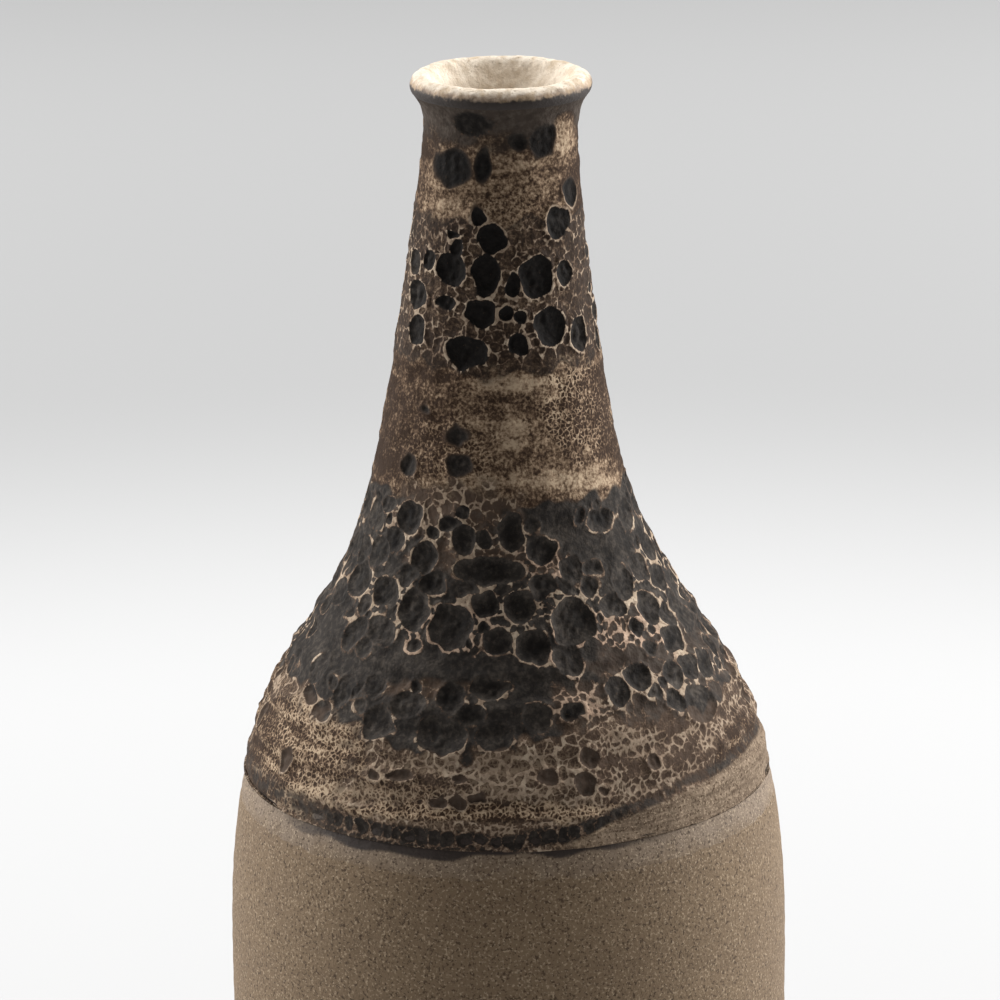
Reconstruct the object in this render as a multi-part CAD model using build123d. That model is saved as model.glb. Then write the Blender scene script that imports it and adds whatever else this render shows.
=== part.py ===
"""Hand-thrown stoneware bottle vase: three luted clay sections under four coats of glaze.

Millimetres, +Z up. The origin is the middle of the ring that the vase stands on.
Every piece is a turned form: a closed outline in the XZ plane, revolved about Z. The thick coat
of glaze then has its main craters sunk into it.
"""
import os
from math import cos, radians, sin

from build123d import *

# Foot and floor
foot_radius = 46.5
foot_lean = -14.0
foot_chamfer = 1.2
foot_ring_width = 8.0
foot_recess = 2.5
floor_thickness = 7.0
floor_flat_radius = 28.0
floor_handle = 11.0
foot_handle = 22.0

# Belly, the widest turn of the lower body
belly_radius = 55.0
belly_height = 70.0
belly_handle_below = 26.0
belly_handle_above = 24.0

# Knuckle, where the wall starts to turn in to the shoulder and the pale wash ends
knuckle_radius = 53.1
knuckle_drop = 7.0
knuckle_lean = 8.5
knuckle_handle_below = 18.0
knuckle_handle_above = 2.4

# Seam between the lower body and the shoulder
body_seam_radius = 51.2
body_seam_height = 131.0
body_seam_lean = 12.0
body_seam_handle_below = 2.4
body_seam_handle_above = 26.0

# Seam between the shoulder and the neck
neck_seam_radius = 24.4
shoulder_height = 56.0
neck_seam_lean = 16.7
neck_seam_handle_below = 27.0
neck_seam_handle_above = 15.0

# Neck above its seam, and the collar below the flared lip
neck_height = 82.4
collar_radius = 13.7
collar_drop = 13.4
collar_lean = 4.0
collar_handle_below = 15.0
collar_handle_above = 4.0

# Lip, a small roll at the end of the flare
lip_radius = 16.8
lip_roll = 1.6
lip_underside_angle = -40.0
lip_inside_angle = 150.0
lip_handle = 4.0
funnel_handle = 4.5

# Clay walls, measured level
body_wall = 5.2
shoulder_wall = 4.6
neck_wall = 4.2

# Stepped seams and the slip that fills them
seam_step = 2.0
slip_thickness = 0.5

# Coats of glaze
base_coat = 0.3
crater_coat = 0.9
crater_edge_coat = 0.5
lip_coat = 0.6
liner_coat = 0.5

# Main craters of the thick coat, as (turn from the front in degrees, share of the way up, radius)
crater_depth_share = 0.6
shoulder_craters = [
    (-52, 0.36, 2.6),
    (-34, 0.36, 3.6),
    (-16, 0.35, 4.4),
    (-3, 0.35, 3.2),
    (57, 0.35, 4.3),
    (-4, 0.50, 3.2),
    (39, 0.49, 3.1),
    (10, 0.64, 3.5),
    (55, 0.68, 3.5),
    (-18, 0.69, 4.6),
    (24, 0.70, 4.9),
    (-33, 0.73, 3.8),
    (-47, 0.75, 3.4),
    (6, 0.76, 3.4),
    (-63, 0.77, 3.8),
    (-6, 0.87, 3.8),
    (-32, 0.89, 3.0),
    (36, 0.85, 2.2),
]
neck_craters = [
    (-48, 0.14, 2.2),
    (-18, 0.17, 2.2),
    (-18, 0.47, 4.2),
    (55, 0.50, 3.4),
    (-53, 0.51, 3.0),
    (33, 0.54, 4.1),
    (-10, 0.59, 3.3),
    (-59, 0.61, 3.0),
    (27, 0.66, 4.2),
    (-30, 0.69, 3.7),
    (-7, 0.69, 3.7),
    (-4, 0.79, 3.0),
    (42, 0.82, 3.7),
    (60, 0.89, 2.9),
]

# Rows of craters round the back, as (share of the way up, radius, count, first turn, last turn)
shoulder_back_rows = [
    (0.38, 4.2, 8, 100, 262),
    (0.58, 3.6, 7, 108, 266),
    (0.76, 3.8, 6, 101, 258),
]
neck_back_rows = [
    (0.21, 3.4, 4, 112, 262),
    (0.42, 3.6, 4, 104, 250),
    (0.63, 3.6, 3, 122, 258),
    (0.82, 3.2, 3, 106, 246),
]

# Heights that follow from the sections
neck_seam_height = body_seam_height + shoulder_height
crest_height = neck_seam_height + neck_height
floor_height = foot_recess + floor_thickness
outside_reach = 2 * belly_radius

# Turn in degrees from the front of the vase to the plane that holds the outlines
front_to_outline = 90


class Station:
    """A point of a turned outline, with the way the wall climbs there."""

    def __init__(self, radius, height, lean, below=0.0, above=0.0):
        self.radius = radius
        self.height = height
        self.lean = lean
        self.below = below
        self.above = above

    def point(self, lift=0.0, along=0.0):
        """The point, lifted off the wall towards the outside and moved along the climb."""
        climb_x = -sin(radians(self.lean))
        climb_z = cos(radians(self.lean))
        x = self.radius + lift * climb_z + along * climb_x
        z = self.height - lift * climb_x + along * climb_z
        return (x, 0, z)

    def inside(self, wall):
        """The matching point of the inner face, one wall nearer to the axis."""
        return Station(self.radius - wall, self.height, self.lean, self.below, self.above)


def climb(stations, lifts):
    """Smooth edges from station to station, each lifted off the wall by its own amount."""
    edges = []
    for low, high, low_lift, high_lift in zip(stations, stations[1:], lifts, lifts[1:]):
        edges.append(
            Bezier(
                low.point(low_lift),
                low.point(low_lift, low.above),
                high.point(high_lift, -high.below),
                high.point(high_lift),
            )
        )
    return edges


def outline_face(edges):
    return Face(Wire(edges))


def turned(face):
    return revolve(face, axis=Axis.Z)


def path(*points):
    """Straight edges through points given as (radius, height)."""
    corners = [(x, 0, z) for x, z in points]
    return [Line(a, b) for a, b in zip(corners, corners[1:])]


def coat(stations, under, over):
    """A layer that lies on the stations' wall between two lifts."""
    first, last = stations[0], stations[-1]
    edges = climb(stations, under) + climb(stations, over)
    edges.append(Line(first.point(under[0]), first.point(over[0])))
    edges.append(Line(last.point(under[-1]), last.point(over[-1])))
    return turned(outline_face(edges))


# Stations of the outer wall, from the foot to the underside of the lip
foot = Station(foot_radius, foot_chamfer, foot_lean, above=foot_handle)
belly = Station(belly_radius, belly_height, 0, belly_handle_below, belly_handle_above)
knuckle = Station(
    knuckle_radius,
    body_seam_height - knuckle_drop,
    knuckle_lean,
    knuckle_handle_below,
    knuckle_handle_above,
)
body_seam = Station(
    body_seam_radius,
    body_seam_height,
    body_seam_lean,
    body_seam_handle_below,
    body_seam_handle_above,
)
neck_seam = Station(
    neck_seam_radius,
    neck_seam_height,
    neck_seam_lean,
    neck_seam_handle_below,
    neck_seam_handle_above,
)
collar = Station(
    collar_radius,
    crest_height - collar_drop,
    collar_lean,
    collar_handle_below,
    collar_handle_above,
)


def lip_point(angle, roll):
    """A point of the lip's roll: 0 degrees is outwards and 90 degrees is its crest."""
    x = lip_radius - lip_roll + roll * cos(radians(angle))
    z = crest_height - lip_roll + roll * sin(radians(angle))
    return (x, 0, z)


lip_x, _, lip_z = lip_point(lip_underside_angle, lip_roll)
lip = Station(lip_x, lip_z, lip_underside_angle, lip_handle)

# Stations of the inner wall
belly_inside = belly.inside(body_wall)
knuckle_inside = knuckle.inside(body_wall)
body_seam_inside = body_seam.inside(shoulder_wall)
neck_seam_inside = neck_seam.inside(neck_wall)
throat = collar.inside(neck_wall)
inner_stations = [belly_inside, knuckle_inside, body_seam_inside, neck_seam_inside, throat]


def bowl(lift):
    """The rounded inside of the floor, from its flat middle up to the belly."""
    level = floor_height + lift
    start = (floor_flat_radius, 0, level)
    outwards = (floor_flat_radius + floor_handle, 0, level)
    return Bezier(
        start,
        outwards,
        belly_inside.point(-lift, -belly_handle_below),
        belly_inside.point(-lift),
    )


def roll_over(lift):
    """The lip's roll and the funnel inside it, down to the throat."""
    roll = lip_roll + lift
    crest = ThreePointArc(
        lip_point(lip_underside_angle, roll),
        lip_point(90, roll),
        lip_point(lip_inside_angle, roll),
    )
    end = lip_point(lip_inside_angle, roll)
    down_x = -sin(radians(lip_inside_angle))
    down_z = cos(radians(lip_inside_angle))
    guide = (end[0] + funnel_handle * down_x, 0, end[2] + funnel_handle * down_z)
    funnel = Bezier(end, guide, throat.point(-lift, funnel_handle), throat.point(-lift))
    return [crest, funnel]


def clay_blank():
    """The outline of the three joined clay sections."""
    outer = [foot, belly, knuckle, body_seam, neck_seam, collar, lip]
    ring_inside = foot_radius - foot_ring_width
    edges = path(
        (0, floor_height),
        (0, foot_recess),
        (ring_inside - foot_recess, foot_recess),
        (ring_inside, 0),
        (foot_radius - foot_chamfer, 0),
        (foot_radius, foot_chamfer),
    )
    edges += climb(outer, [0] * len(outer))
    edges += roll_over(0)
    edges += climb(inner_stations, [0] * len(inner_stations))
    edges.append(bowl(0))
    edges += path((floor_flat_radius, floor_height), (0, floor_height))
    return outline_face(edges)


def above_seam(seam, wall, rise):
    """Everything over a stepped seam, whose inner half stands up as a spigot."""
    step_radius = seam.radius - wall / 2 + rise
    low = seam.height + rise
    high = low + seam_step
    top = crest_height + outside_reach
    edges = path(
        (outside_reach, low),
        (step_radius, low),
        (step_radius, high),
        (0, high),
        (0, top),
        (outside_reach, top),
        (outside_reach, low),
    )
    return outline_face(edges)


def seam_zones(seam, wall):
    """The zone over the joining slip, and the zone over the piece under the slip."""
    return above_seam(seam, wall, slip_thickness), above_seam(seam, wall, 0)


def clay_pieces():
    blank = clay_blank()
    over_body_slip, over_body = seam_zones(body_seam, shoulder_wall)
    over_neck_slip, over_shoulder = seam_zones(neck_seam, neck_wall)
    faces = {
        "lower_body": blank - over_body,
        "body_seam_slip": (blank & over_body) - over_body_slip,
        "shoulder": (blank & over_body_slip) - over_shoulder,
        "neck_seam_slip": (blank & over_shoulder) - over_neck_slip,
        "neck": blank & over_neck_slip,
    }
    return {name: turned(shape.faces()[0]) for name, shape in faces.items()}


def base_glaze():
    stations = [knuckle, body_seam, neck_seam, collar, lip]
    return coat(stations, [0] * len(stations), [base_coat] * len(stations))


def back_craters(rows):
    """The craters of the rows, evenly spread from each row's first turn to its last."""
    craters = []
    for share, radius, count, first, last in rows:
        step = (last - first) / (count - 1)
        craters += [(first + step * number, share, radius) for number in range(count)]
    return craters


def crater_balls(face_edge, craters, low_coat, high_coat):
    """Balls that each sink one round dish into the coat whose outer face follows the edge."""
    balls = []
    for turn, share, radius in craters:
        depth = crater_depth_share * (low_coat + (high_coat - low_coat) * share)
        ball_radius = (radius**2 + depth**2) / (2 * depth)
        climbing = face_edge % share
        outwards = Vector(climbing.Z, 0, -climbing.X)
        middle = face_edge @ share + outwards * (ball_radius - depth)
        balls.append(Rot(0, 0, turn - front_to_outline) * Pos(middle) * Sphere(ball_radius))
    return balls


def crater_glaze():
    """The thick coat, thinner at the glaze line and where it runs out under the lip."""
    stations = [body_seam, neck_seam, collar, lip]
    over = [
        base_coat + crater_edge_coat,
        base_coat + crater_coat,
        base_coat + crater_coat,
        lip_coat,
    ]
    glaze = coat(stations, [base_coat] * len(stations), over)
    shoulder_edge, neck_edge, _ = climb(stations, over)
    on_shoulder = shoulder_craters + back_craters(shoulder_back_rows)
    on_neck = neck_craters + back_craters(neck_back_rows)
    balls = crater_balls(shoulder_edge, on_shoulder, crater_edge_coat, crater_coat)
    balls += crater_balls(neck_edge, on_neck, crater_coat, crater_coat)
    return glaze - balls


def lip_glaze():
    edges = roll_over(0) + roll_over(lip_coat)
    edges.append(Line(lip.point(), lip.point(lip_coat)))
    edges.append(Line(throat.point(), throat.point(-lip_coat)))
    return turned(outline_face(edges))


def liner_glaze():
    count = len(inner_stations)
    edges = climb(inner_stations, [0] * count) + climb(inner_stations, [-liner_coat] * count)
    edges += [bowl(0), bowl(liner_coat)]
    edges += path(
        (floor_flat_radius, floor_height),
        (0, floor_height),
        (0, floor_height + liner_coat),
        (floor_flat_radius, floor_height + liner_coat),
    )
    edges.append(Line(throat.point(), throat.point(-liner_coat)))
    return turned(outline_face(edges))


def build():
    pieces = clay_pieces()
    pieces["base_glaze"] = base_glaze()
    pieces["crater_glaze"] = crater_glaze()
    pieces["lip_glaze"] = lip_glaze()
    pieces["liner_glaze"] = liner_glaze()
    return pieces


os.makedirs("parts", exist_ok=True)
for name, piece in build().items():
    export_step(piece, f"parts/{name}.step")
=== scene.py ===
from math import cos, pi, radians, sin

import bpy
import numpy as np
from mathutils import Matrix, Vector


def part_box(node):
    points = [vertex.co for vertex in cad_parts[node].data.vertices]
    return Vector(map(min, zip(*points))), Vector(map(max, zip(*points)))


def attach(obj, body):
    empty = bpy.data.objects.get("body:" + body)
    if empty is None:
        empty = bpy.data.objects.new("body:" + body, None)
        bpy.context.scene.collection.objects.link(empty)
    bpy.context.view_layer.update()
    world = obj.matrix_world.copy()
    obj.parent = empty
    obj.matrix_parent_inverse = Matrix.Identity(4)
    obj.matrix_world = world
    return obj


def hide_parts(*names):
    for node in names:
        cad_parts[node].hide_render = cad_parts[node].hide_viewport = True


# Looks of the bottle vase: a crater-glazed neck and shoulder over bare, speckled stoneware.
# The glaze pattern is worked out in millimetres on a grid of angle and distance along the wall, and
# becomes both the relief and the colour of one dense turned mesh. Blender objects are in metres.

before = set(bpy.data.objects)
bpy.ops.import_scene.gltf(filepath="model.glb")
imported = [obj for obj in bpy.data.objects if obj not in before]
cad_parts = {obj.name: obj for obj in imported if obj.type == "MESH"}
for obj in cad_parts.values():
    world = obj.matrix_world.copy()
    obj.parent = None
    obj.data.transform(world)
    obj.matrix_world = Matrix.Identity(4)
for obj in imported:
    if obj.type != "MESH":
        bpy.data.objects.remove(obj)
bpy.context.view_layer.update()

MM = 0.001

# The photograph's camera, in millimetres, degrees and pixels of the square picture
PICTURE_SIDE = 1000
CAMERA_DISTANCE = 993.9
CAMERA_HEIGHT = 481.7
CAMERA_ASIDE = -0.96
CAMERA_PITCH = 16.62
CAMERA_ROLL = 0.52
FOCAL_PIXELS = 5322.0
SENSOR_WIDTH = 36.0
# How far the camera sees, in m
CAMERA_REACH = 100
# Angle about the vase's axis that faces the camera
FRONT = -pi / 2

# Grid of the crater glaze: columns, step along the wall in mm, and the seed of its random places
GLAZE_COLUMNS = 1280
ROW_STEP = 0.2
GLAZE_SEED = 5
# Rows of the glaze's back, which lies on the clay
BACK_ROWS = 60
# Largest distance to a cell's edge that is kept, in mm
FIELD_REACH = 3.0
# Plane waves in a noise
NOISE_WAVES = 18
# Ends of the bake map, and the last place on it for an outline's hidden part
BAKE_START = 0.01
BAKE_END = 0.99
BAKE_LAST = 0.985

# The neck was set a little to one side: sideways shift in mm by height
LEAN_HEIGHTS = (150, 172, 190, 200, 225, 245, 262)
LEAN_SHIFTS = (0, -0.45, -1.15, -1.3, -1.15, -0.7, -0.1)


def node_points(node):
    """Corners of a CAD node in mm."""
    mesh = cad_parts[node].data
    flat = np.empty(len(mesh.vertices) * 3)
    mesh.vertices.foreach_get("co", flat)
    return flat.reshape(-1, 3) / MM


def outer_wall(node):
    """A turned node's outer wall as (radius, height), lowest first, read in the CAD outline's plane."""
    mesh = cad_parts[node].data
    points = node_points(node)
    outward = set()
    for face in mesh.polygons:
        if face.normal.x > 0.2:
            outward.update(face.vertices)
    corners = points[sorted(outward)]
    corners = corners[(np.abs(corners[:, 1]) < 0.01) & (corners[:, 0] > 0)]
    levels, first = np.unique(np.round(corners[:, 2], 3), return_index=True)
    return np.column_stack([corners[first, 0], levels])


def smoothstep(value, low, high):
    """0 up to low and 1 from high, eased between."""
    t = np.clip((value - low) / (high - low), 0, 1)
    return t * t * (3 - 2 * t)


def full_turn(count):
    """Angles that divide a full turn evenly."""
    return 2 * pi * np.arange(count) / count


def inside_of(value, low, high, soft):
    """1 between low and high, eased to 0 over a soft width at both ends."""
    return smoothstep(value, low - soft, low + soft) * (1 - smoothstep(value, high - soft, high + soft))


def along_outline(outline, step):
    """An outline of (radius, height) set out again in even steps."""
    run = np.concatenate([[0], np.cumsum(np.hypot(*np.diff(outline, axis=0).T))])
    even = np.linspace(0, run[-1], int(run[-1] / step) + 2)
    return np.column_stack([np.interp(even, run, outline[:, 0]), np.interp(even, run, outline[:, 1])])


def lean(height):
    """Sideways shift of the thrown form at a height, in mm."""
    return np.interp(height, LEAN_HEIGHTS, LEAN_SHIFTS)


def wave_noise(points, wavelength, seed):
    """Smooth noise of unit spread at points in mm, from a seeded sum of plane waves."""
    rng = np.random.default_rng(seed)
    ways = rng.normal(size=(NOISE_WAVES, 3))
    ways /= np.linalg.norm(ways, axis=1)[:, None]
    ways *= 2 * pi / wavelength * rng.uniform(0.65, 1.5, (NOISE_WAVES, 1))
    phases = rng.uniform(0, 2 * pi, NOISE_WAVES)
    total = np.zeros(points.shape[:-1], np.float32)
    for way, phase in zip(ways.astype(np.float32), phases.astype(np.float32)):
        total += np.cos(points @ way + phase)
    return total / np.sqrt(NOISE_WAVES / 2)


def photo_pixels(points):
    """Pixel column and row of points in mm in the photograph."""
    aside = points[..., 0] - CAMERA_ASIDE
    ahead = points[..., 1] + CAMERA_DISTANCE
    above = points[..., 2] - CAMERA_HEIGHT
    pitch, roll = radians(CAMERA_PITCH), radians(CAMERA_ROLL)
    depth = ahead * cos(pitch) - above * sin(pitch)
    right = FOCAL_PIXELS * aside / depth
    up = FOCAL_PIXELS * (ahead * sin(pitch) + above * cos(pitch)) / depth
    column = PICTURE_SIDE / 2 + right * cos(roll) - up * sin(roll)
    row = PICTURE_SIDE / 2 - right * sin(roll) - up * cos(roll)
    return column, row


def outline_normals(outline, closed):
    """Unit normals of an outline of (radius, height), to the right of its run."""
    if closed:
        run = np.roll(outline, -1, 0) - np.roll(outline, 1, 0)
    else:
        run = np.gradient(outline, axis=0)
    run /= np.maximum(np.linalg.norm(run, axis=1)[:, None], 1e-9)
    return np.column_stack([run[:, 1], -run[:, 0]])


def grid_faces(rows, columns):
    """Quads of a turned grid, wound so that they face out of an outline run upwards outside."""
    i = np.arange(rows)[:, None]
    j = np.arange(columns)[None, :]
    up = (i + 1) % rows
    on = (j + 1) % columns
    corners = [i * columns + j, i * columns + on, up * columns + on, up * columns + j]
    return np.stack(np.broadcast_arrays(*corners), -1).reshape(-1, 4)


def turned_mesh(name, outline, columns, lift, shares):
    """A watertight turned mesh from a closed outline of (radius, height) in mm.

    lift moves each grid point along the outline's normal.
    shares are the outline's places across the bake map, from 0 to 1.
    """
    rows = len(outline)
    normals = outline_normals(outline, True)
    angles = FRONT + full_turn(columns)
    radius = outline[:, :1] + lift * normals[:, :1]
    height = outline[:, 1:] + lift * normals[:, 1:]
    points = np.stack([radius * np.cos(angles) + lean(height), radius * np.sin(angles), height], -1)
    faces = grid_faces(rows, columns)
    mesh = bpy.data.meshes.new(name)
    mesh.vertices.add(rows * columns)
    mesh.vertices.foreach_set("co", (points * MM).astype(np.float32).ravel())
    mesh.loops.add(faces.size)
    mesh.loops.foreach_set("vertex_index", faces.astype(np.int32).ravel())
    mesh.polygons.add(len(faces))
    mesh.polygons.foreach_set("loop_start", np.arange(0, faces.size, 4, dtype=np.int32))
    mesh.polygons.foreach_set("use_smooth", np.ones(len(faces), bool))
    mesh.update(calc_edges=True)
    bake_map(mesh, columns, shares)
    return mesh


def bake_shares(*stretches):
    """An outline's places across the bake map, from each stretch's first place, last place and count."""
    return np.concatenate([np.linspace(*stretch) for stretch in stretches])


def bake_map(mesh, columns, shares):
    """One rectangle of angle against outline, so that the finish can be baked without seams."""
    ends = np.append(shares[1:], BAKE_END)
    across = np.linspace(BAKE_START, BAKE_END, columns + 1)
    places = np.empty((len(shares), columns, 4, 2), np.float32)
    places[:, :, 0, 0] = places[:, :, 3, 0] = across[:-1]
    places[:, :, 1, 0] = places[:, :, 2, 0] = across[1:]
    places[:, :, 0, 1] = places[:, :, 1, 1] = shares[:, None]
    places[:, :, 2, 1] = places[:, :, 3, 1] = ends[:, None]
    layer = mesh.uv_layers.new(name="OFBake")
    layer.data.foreach_set("uv", places.ravel())


def float_attribute(mesh, name, values):
    """Stores a value at each corner of a mesh for its finish."""
    attribute = mesh.attributes.new(name, "FLOAT", "POINT")
    attribute.data.foreach_set("value", np.asarray(values, np.float32).ravel())


def new_object(name, data):
    """An object in the scene that holds a mesh, lamp or camera."""
    made = bpy.data.objects.new(name, data)
    bpy.context.scene.collection.objects.link(made)
    return made


def piece_from(mesh, material, node):
    """A piece that stands for a CAD node and rides on the only body."""
    piece = new_object(node + "_finish", mesh)
    mesh.materials.append(material)
    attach(piece, "root")
    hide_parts(node)


# Craters seen in the photograph: pixel column, pixel row, half width, half height
SEEN_CRATERS = (
    (450, 166, 19, 18), (483, 168, 8, 18), (472, 125, 20, 12), (542, 143, 14, 17), (518, 142, 9, 8),
    (478, 218, 8, 10), (556, 223, 13, 17), (570, 192, 7, 15), (452, 234, 6, 4), (457, 249, 6, 10),
    (492, 237, 15, 14), (453, 272, 16, 17), (487, 275, 14, 23), (540, 282, 17, 21), (512, 286, 7, 12),
    (565, 269, 7, 12), (416, 264, 5, 11), (429, 260, 5, 10), (417, 293, 8, 14), (446, 302, 10, 6),
    (481, 313, 18, 14), (506, 313, 6, 8), (521, 316, 7, 7), (551, 327, 16, 20), (579, 333, 8, 19),
    (418, 331, 8, 16), (466, 353, 22, 17), (515, 345, 11, 11), (426, 409, 4, 4), (457, 437, 11, 10),
    (460, 463, 12, 10), (408, 466, 7, 12), (412, 516, 13, 18), (449, 523, 12, 9), (513, 532, 13, 19),
    (424, 556, 13, 16), (486, 571, 37, 14), (600, 518, 13, 12), (592, 567, 10, 10), (361, 578, 11, 18),
    (383, 594, 13, 16), (414, 608, 15, 22), (450, 628, 22, 24), (489, 603, 13, 15), (520, 606, 17, 18),
    (501, 641, 14, 14), (535, 644, 18, 18), (483, 628, 6, 7), (469, 645, 4, 4), (574, 621, 23, 25),
    (636, 628, 6, 9), (648, 609, 11, 18), (638, 677, 13, 15), (655, 691, 7, 7), (677, 700, 8, 13),
    (701, 703, 15, 20), (491, 690, 22, 12), (570, 714, 12, 9), (311, 696, 8, 9), (323, 709, 9, 12),
    (377, 725, 16, 18), (442, 738, 25, 20), (494, 738, 18, 15), (286, 759, 6, 13), (399, 775, 14, 6),
    (375, 775, 6, 6), (459, 779, 9, 6), (440, 803, 10, 6), (459, 802, 9, 5), (477, 799, 9, 5),
    (589, 761, 10, 9), (547, 778, 11, 9), (584, 782, 11, 10), (653, 762, 8, 8), (591, 791, 4, 4),
    (604, 791, 4, 4), (587, 826, 8, 5),
)
# Kinds of glaze seen in the photograph: pixel column, pixel row, half width, half height, strength. Webs are
# pale veins between craters, filled gaps are pale all over, plain places have no faint craters, fine ones are
# speckled without cells, and net, pale, pink and dim ones shift the colour
WEB_PATCHES = (
    (430, 520, 56, 40, 0.9), (480, 540, 56, 30, 0.7), (372, 590, 34, 34, 0.45), (410, 612, 26, 34, 1.0),
    (455, 628, 36, 36, 1.0), (505, 620, 40, 42, 0.9), (535, 646, 28, 28, 0.8), (574, 621, 36, 36, 1.0),
    (622, 628, 32, 24, 1.0), (650, 605, 26, 44, 0.7), (547, 562, 26, 24, 0.9), (590, 520, 26, 20, 0.5),
    (580, 702, 44, 30, 1.0), (640, 690, 34, 34, 0.8), (690, 690, 44, 60, 0.6), (500, 700, 40, 10, 0.9),
    (425, 688, 60, 9, 0.5), (380, 735, 22, 22, 0.5), (440, 752, 46, 14, 1.0), (497, 750, 30, 12, 1.0),
    (330, 668, 22, 22, 0.25), (318, 704, 22, 20, 0.45), (650, 540, 18, 36, 0.5),
)
CELL_PATCHES = (
    (660, 670, 70, 60, 1.0), (600, 715, 60, 26, 0.8), (620, 628, 26, 16, 0.8), (580, 700, 36, 20, 0.8),
    (450, 512, 72, 30, 1.0), (470, 552, 56, 26, 0.8), (545, 562, 16, 18, 0.8), (425, 688, 55, 9, 1.0),
)
WIDE_CELL_PATCHES = ((670, 660, 70, 60, 0.9),)
FILLED_PATCHES = (
    (479, 630, 11, 26, 1.0), (549, 609, 11, 18, 1.0), (611, 631, 34, 15, 1.0), (585, 697, 32, 20, 0.9),
    (551, 562, 20, 15, 0.8), (475, 553, 18, 10, 0.6),
)
PLAIN_PATCHES = (
    (450, 668, 130, 20, 1.0), (560, 680, 60, 16, 1.0), (620, 655, 40, 14, 1.0), (588, 545, 46, 40, 1.0),
    (320, 640, 36, 30, 0.8),
)
NET_PATCHES = ((585, 410, 46, 46, 1.5), (445, 450, 50, 34, 0.7), (510, 215, 40, 22, 0.5))
FINE_PATCHES = (
    (300, 750, 62, 60, 1.0), (480, 812, 190, 10, 1.0), (755, 770, 40, 60, 0.9), (390, 790, 70, 18, 0.6),
    (620, 840, 66, 17, 1.0), (690, 822, 56, 20, 1.0), (755, 785, 34, 40, 1.0),
)
PALE_PATCHES = (
    (566, 138, 14, 24, 1.0), (402, 290, 24, 66, 0.4), (490, 290, 62, 66, 0.3), (515, 162, 34, 9, 0.6),
    (430, 208, 26, 22, 0.12), (520, 196, 34, 18, 0.4), (512, 383, 44, 9, 1.0), (512, 430, 15, 22, 0.9),
    (460, 425, 40, 6, 0.3), (560, 480, 78, 10, 1.0), (610, 468, 30, 12, 0.8), (490, 482, 30, 8, 0.7),
    (330, 715, 50, 16, 0.7), (285, 700, 20, 30, 0.5), (350, 792, 80, 10, 0.9), (480, 814, 60, 5, 0.6),
    (640, 790, 60, 10, 0.2), (500, 770, 70, 26, 0.8), (600, 702, 24, 14, 0.9), (616, 629, 24, 10, 0.8),
    (650, 834, 70, 14, 0.5), (715, 800, 44, 24, 0.15),
)
PINK_PATCHES = (
    (600, 640, 60, 30, 1.0), (560, 700, 50, 30, 0.6), (547, 562, 25, 25, 0.8), (450, 640, 60, 40, 0.7),
)
DIM_PATCHES = (
    (415, 430, 45, 66, 0.7), (600, 425, 44, 50, 0.6), (440, 125, 60, 30, 0.8),
    (575, 190, 20, 50, 0.5), (524, 140, 30, 22, 0.9), (505, 108, 110, 14, 0.9), (495, 408, 50, 12, 0.5),
    (455, 400, 36, 16, 0.5), (560, 455, 60, 8, 0.4), (530, 505, 90, 6, 0.7), (670, 760, 74, 56, 1.0),
)

# The charcoal shoulder's lower edge, as a height in mm by the turn from the front in degrees
CHARCOAL_TURNS = (-180, -90, -62, -34, -16, 0, 12, 25, 40, 60, 90, 180)
CHARCOAL_FLOORS = (154, 153, 153.5, 149.5, 148.3, 149, 151.5, 153.2, 150.4, 149.6, 153, 154)
CHARCOAL_TOP = 191.0
# Faint craters in the charcoal: radii in mm and how often a place for one is tried
CHARCOAL_WIDEST = 3.3
CHARCOAL_NARROWEST = 1.1
CHARCOAL_TRIES = 2600
# Height in mm under which the seen craters are faint as well, and how strong they are there
FAINT_BELOW = 158.0
FAINT_STRENGTH = 0.6
# Heights in mm between which the neck has small cells, and over which the dark collar comes in
NECK_CELLS_LOW = 216.5
NECK_CELLS_HIGH = 244.0
COLLAR_FROM = 256.0
COLLAR_FULL = 262.0
# The dark band along the glaze's lower edge by the turn from the front: its middle and half height in mm
BAND_TURNS = (-180, -90, -60, -25, 0, 12, 24, 32, 51, 75, 120, 150)
BAND_MIDDLES = (133.6, 134.4, 134.2, 133.1, 132.9, 133.9, 136.4, 138.0, 139.5, 140.6, 137.0, 133.6)
BAND_HALVES = (1.8, 1.9, 1.9, 2.0, 2.0, 1.6, 1.3, 1.1, 1.0, 0.9, 0.8, 1.8)
# Turns between which the band is a chain of cells, and how many of them fill a full turn
CHAIN_FROM = -44
CHAIN_TO = 27
CHAIN_CELLS = 120
# Turns between which the glaze under the band is thin and streaky
THIN_FROM = 14
THIN_TO = 125
# Heights in mm over which the low cells, the low net, the low zone and the throwing rings end, over which the
# upper zone begins, and between which a soft ring lies
LOW_CELLS_END = (160, 165)
LOW_NET_END = (158, 164)
LOW_ZONE_END = (150, 158)
RINGS_END = (160, 185)
UPPER_START = (246, 252)
SOFT_RING = (195, 214)

# Usual radius in mm of the small cells by height
CELL_HEIGHTS = (131, 142, 150, 158, 190, 196, 214, 218, 242, 246, 267)
CELL_RADII = (0.45, 0.54, 0.64, 1.0, 0.8, 0.42, 0.42, 0.84, 0.7, 0.5, 0.8)
# Radii that are tried for them, the widest first
FILL_RADII = (2.0, 1.6, 1.25, 1.0, 0.8, 0.62, 0.5, 0.4)
# Room for craters between the glaze's face and the clay, in mm by height
COAT_HEIGHTS = (131, 150, 168, 255, 260, 264, 267)
COAT_DEPTHS = (0.72, 0.88, 1.12, 1.12, 0.75, 0.5, 0.35)
LEAST_COAT = 0.08
# The ridge round a large crater: how far outside the edge it stands and how wide it is, in mm
RIDGE_PLACE = 0.3
RIDGE_WIDTH = 0.6

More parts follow.
